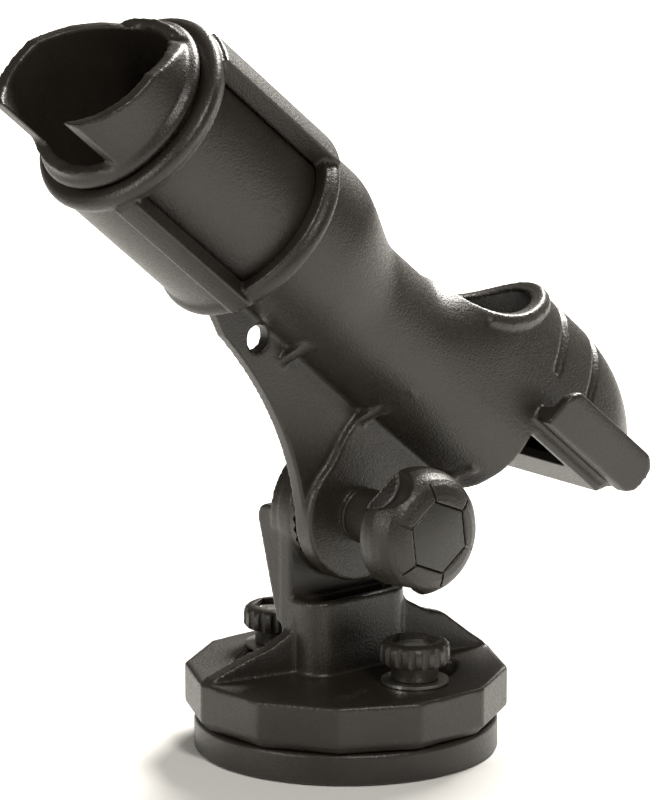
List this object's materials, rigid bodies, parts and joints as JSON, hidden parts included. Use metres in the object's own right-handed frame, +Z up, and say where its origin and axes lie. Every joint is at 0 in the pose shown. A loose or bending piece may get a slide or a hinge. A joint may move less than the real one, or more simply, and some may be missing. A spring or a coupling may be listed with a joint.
{
  "type": "fishing rod holder",
  "caption": "Tilting and turning tube that holds a fishing rod butt over a round deck mount, clamped by knobs, with a turning lock collar at the mouth.",
  "frame": {"origin": "centre of the mounting pad's underside", "axes": "+Z up from the deck; the tube's mouth leans up towards -X; the adjuster knob faces -Y"},
  "size_m": [0.2328, 0.0986, 0.2391],
  "materials": {
    "black_nylon": "moulded black glass-filled nylon, fine grain",
    "grey_nylon": "moulded dark grey nylon, fine grain",
    "stainless_steel": "stainless steel"
  },
  "bodies": {
    "pad": {"mounting_pad": "black_nylon", "pad_bolt_front": "stainless_steel", "pad_bolt_back": "stainless_steel", "slot_washer_front": "stainless_steel", "slot_washer_back": "stainless_steel"},
    "nut_front": {"clamp_nut_front": "black_nylon", "nut_insert_front": "stainless_steel"},
    "nut_back": {"clamp_nut_back": "black_nylon", "nut_insert_back": "stainless_steel"},
    "swivel": {"swivel_base": "black_nylon", "pivot_nut": "stainless_steel"},
    "tube": {"rod_tube": "black_nylon"},
    "collar": {"lock_collar": "black_nylon"},
    "knob": {"adjuster_knob": "black_nylon", "knob_cap": "grey_nylon", "pivot_bolt": "stainless_steel", "pivot_washer": "stainless_steel"}
  },
  "joints": [
    {"name": "base_swivel", "type": "hinge", "parent": "pad", "child": "swivel", "pos_m": [0, 0, 0.018], "axis": [0, 0, 1], "range_deg": [-44, 3]},
    {"name": "tilt", "type": "hinge", "parent": "swivel", "child": "tube", "pos_m": [0, 0, 0.0754], "axis": [0, 1, 0], "range_deg": [-50, 35]},
    {"name": "collar_turn", "type": "hinge", "parent": "tube", "child": "collar", "pos_m": [0.03124, -0.003, 0.11224], "axis": [0.7627, 0, -0.6468], "range_deg": [-90, 0]},
    {"name": "knob_turn", "type": "hinge", "parent": "swivel", "child": "knob", "pos_m": [0, 0, 0.0754], "axis": [0, 1, 0], "continuous": true},
    {"name": "clamp_nut_front_turn", "type": "hinge", "parent": "pad", "child": "nut_front", "pos_m": [0.00298, -0.02985, 0.03], "axis": [0, 0, 1], "continuous": true},
    {"name": "clamp_nut_back_turn", "type": "hinge", "parent": "pad", "child": "nut_back", "pos_m": [-0.00298, 0.02985, 0.03], "axis": [0, 0, 1], "continuous": true}
  ]
}
